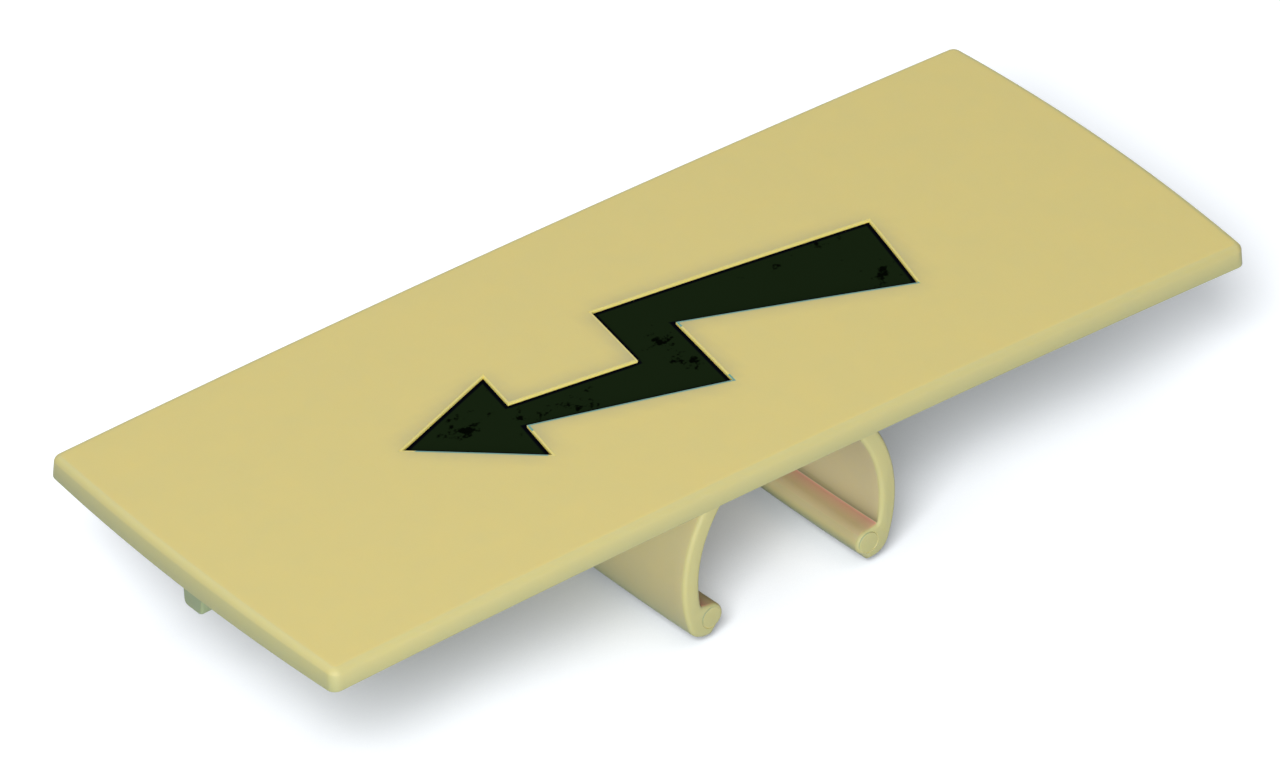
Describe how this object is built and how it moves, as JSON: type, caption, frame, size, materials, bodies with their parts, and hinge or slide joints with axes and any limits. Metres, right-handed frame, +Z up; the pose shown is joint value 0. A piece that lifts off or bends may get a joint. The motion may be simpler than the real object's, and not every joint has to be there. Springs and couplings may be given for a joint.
{
  "type": "warning marker",
  "caption": "Clip-on yellow warning marker for terminal blocks: a thin crowned plate with a black lightning arrow and bowed clip jaws below.",
  "frame": {"origin": "centre of the footprint, on the surface that the jaws stand on", "axes": "+X along the plate towards the arrow's tail, +Z up out of the printed face"},
  "size_m": [0.052, 0.0204, 0.0089],
  "materials": {
    "yellow_plastic": "fine matt, as moulded",
    "black_print": "satin hot-stamped print"
  },
  "bodies": {
    "root": {"marker_plate": "yellow_plastic", "lightning_arrow": "black_print"}
  },
  "joints": []
}
